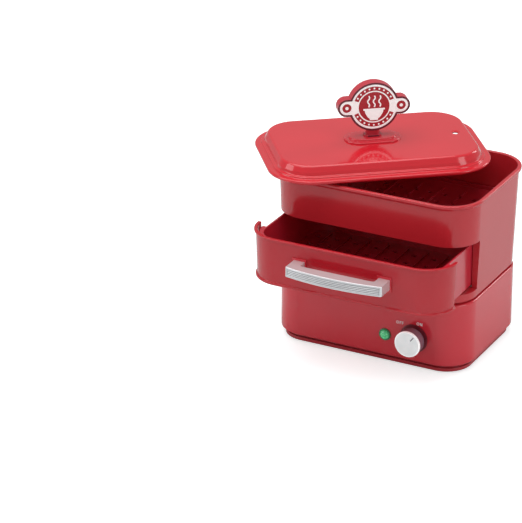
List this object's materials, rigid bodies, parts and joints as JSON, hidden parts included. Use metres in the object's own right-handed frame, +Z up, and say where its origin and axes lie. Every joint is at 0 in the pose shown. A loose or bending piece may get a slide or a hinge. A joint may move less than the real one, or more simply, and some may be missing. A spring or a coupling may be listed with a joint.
{
  "type": "hot dog steamer",
  "caption": "Table-top hot dog steamer: heated base with a knob and lamp, housing with a pull-out drawer and an open roll bin, loose lid with an upright round plate.",
  "frame": {"origin": "middle of the whole part's box, on the table under the feet", "axes": "+Z up, +X to the right and -Y out of the front, towards the one who pulls the drawer"},
  "size_m": [0.3484, 0.3644, 0.3443],
  "materials": {
    "red_body": "glossy red",
    "red_drawer": "glossy red",
    "red_inner": "red, less glossy inside",
    "red_lid": "mirror-glossy red",
    "red_plinth": "dark red",
    "red_topper": "satin red",
    "white_relief": "printed white and red",
    "white_print": "pad print",
    "black_rubber": "matte",
    "black_plastic": "matte",
    "steel": "zinc plated",
    "stainless": "drawn and brushed",
    "aluminium": "cast",
    "heater_sheath": "heat-darkened",
    "handle_silver": "satin metallised",
    "knob_silver": "satin metallised",
    "knob_face": "pale grey",
    "lens_green": "clear green",
    "bezel_green": "dark green",
    "cream_plastic": "heat-resistant moulding",
    "wire_pvc": "insulation",
    "slide_white": "low-friction moulding"
  },
  "bodies": {
    "base": {"base_shell": "red_body", "base_deck": "red_inner", "bin_frame": "red_inner", "bottom_cover": "red_plinth", "feet": "black_rubber", "cover_screws": "steel", "cord_gland": "black_plastic", "lamp_bezel": "bezel_green", "lamp_lens": "lens_green", "pilot_lamp": "cream_plastic", "dial_ring": "black_plastic", "dial_marks": "white_print", "switch_body": "black_plastic", "switch_nut": "steel", "water_pan": "stainless", "heater_plate": "aluminium", "heating_ring": "heater_sheath", "thermostat": "cream_plastic", "thermal_fuse": "cream_plastic", "terminal_block": "cream_plastic", "wiring": "wire_pvc", "steam_plate": "stainless", "housing": "red_body", "housing_screws": "steel", "rail_left": "slide_white", "rail_right": "slide_white"},
    "drawer": {"drawer_front": "red_drawer", "drawer_box": "red_inner", "drawer_runners": "slide_white", "handle_bar": "handle_silver", "handle_pads": "red_drawer", "handle_screws": "steel"},
    "knob": {"knob_shaft": "steel", "knob_skirt": "knob_silver", "knob_cap": "knob_face"},
    "roll_tray": {"roll_tray": "red_inner"},
    "lid": {"lid_shell": "red_lid", "lid_boss": "red_lid", "topper_body": "red_topper", "topper_front": "white_relief", "topper_back": "white_relief", "topper_screw": "steel"}
  },
  "joints": [
    {"name": "drawer_slide", "type": "slide", "parent": "base", "child": "drawer", "axis": [0, -1, 0], "range_m": [-0.072, 0.035]},
    {"name": "knob_turn", "type": "hinge", "parent": "base", "child": "knob", "pos_m": [0.09872, -0.08113, 0.044], "axis": [0, 1, 0], "range_deg": [-76, 0]},
    {"name": "tray_lift", "type": "slide", "parent": "base", "child": "roll_tray", "axis": [0, 0, 1], "range_m": [0, 0.04]},
    {"name": "lid_lift", "type": "slide", "parent": "base", "child": "lid", "axis": [0, 0, 1], "range_m": [0, 0.12]}
  ]
}
